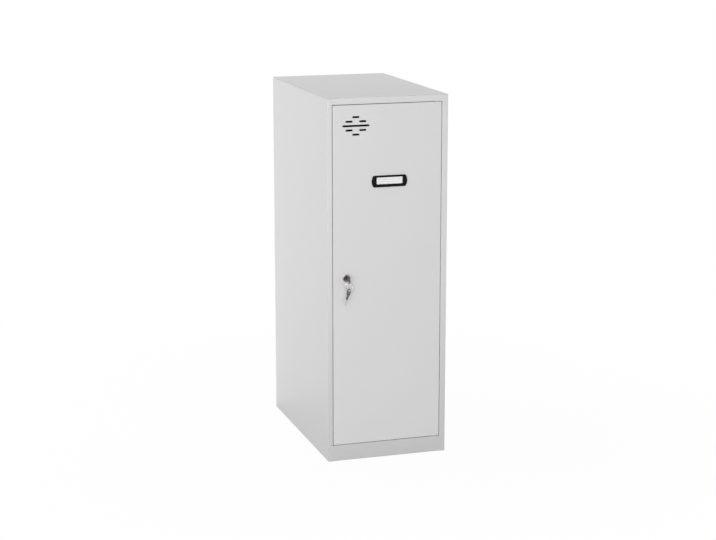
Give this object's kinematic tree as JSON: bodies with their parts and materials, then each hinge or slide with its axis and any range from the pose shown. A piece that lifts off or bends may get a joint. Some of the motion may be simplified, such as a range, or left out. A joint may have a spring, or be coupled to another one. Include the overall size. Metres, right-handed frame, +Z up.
{
  "type": "metal locker",
  "caption": "Narrow half-height steel locker with one flush hinged door, vent slots, a card holder, a cam lock with keys on a ring, and a shelf and coat rail inside.",
  "frame": {"origin": "on the floor, below the middle of the whole part's box, the key and its ring included", "axes": "+Z up; the door faces -Y; +X to the right as seen from the front, the hinge side"},
  "size_m": [0.305, 0.5354, 0.9],
  "materials": {
    "paint": "light grey powder coat, semi-gloss",
    "zinc": "bright zinc plate",
    "nickel": "nickel plate, lightly worn",
    "black_plastic": "satin",
    "film": "clear glossy film",
    "card": "plain matt card",
    "rubber": "matt",
    "nylon": "satin"
  },
  "bodies": {
    "cabinet": {"left_side_panel": "paint", "right_side_panel": "paint", "back_panel": "paint", "roof_panel": "paint", "floor_panel": "paint", "shelf": "paint", "left_shelf_ledge": "paint", "right_shelf_ledge": "paint", "coat_rail": "zinc", "left_rail_socket": "zinc", "right_rail_socket": "zinc", "upper_hinge_bush": "nylon", "lower_hinge_bush": "nylon", "upper_door_bumper": "rubber", "lower_door_bumper": "rubber"},
    "door": {"door_panel": "paint", "door_stiffener": "paint", "upper_hinge_bracket": "zinc", "lower_hinge_bracket": "zinc", "upper_hinge_pin": "zinc", "lower_hinge_pin": "zinc", "label_frame": "black_plastic", "label_window": "film", "label_card": "card", "lock_housing": "nickel", "lock_nut": "nickel"},
    "lock_core": {"lock_plug": "nickel", "lock_cam": "zinc", "cam_screw": "zinc"},
    "lock_key": {"key": "nickel"},
    "ring": {"key_ring": "nickel"},
    "hanging_key": {"spare_key": "nickel"}
  },
  "joints": [
    {"name": "door_hinge", "type": "hinge", "parent": "cabinet", "child": "door", "pos_m": [0.12589, -0.22705, 0.462], "axis": [0, 0, 1], "range_deg": [0, 110]},
    {"name": "lock_turn", "type": "hinge", "parent": "door", "child": "lock_core", "pos_m": [-0.106, -0.23225, 0.462], "axis": [0, 1, 0], "range_deg": [0, 90]},
    {"name": "key_slide", "type": "slide", "parent": "lock_core", "child": "lock_key", "axis": [0, -1, 0], "range_m": [0, 0.018]},
    {"name": "ring_swing", "type": "hinge", "parent": "lock_key", "child": "ring", "pos_m": [-0.106, -0.25825, 0.4545], "axis": [0, 1, 0], "range_deg": [-100, 10]},
    {"name": "spare_key_swing", "type": "hinge", "parent": "ring", "child": "hanging_key", "pos_m": [-0.106, -0.25825, 0.4405], "axis": [0, 1, 0], "range_deg": [-30, 30]}
  ],
  "couplings": [
    {"joint": "ring_swing", "follows": "lock_turn", "ratio": -1}
  ]
}
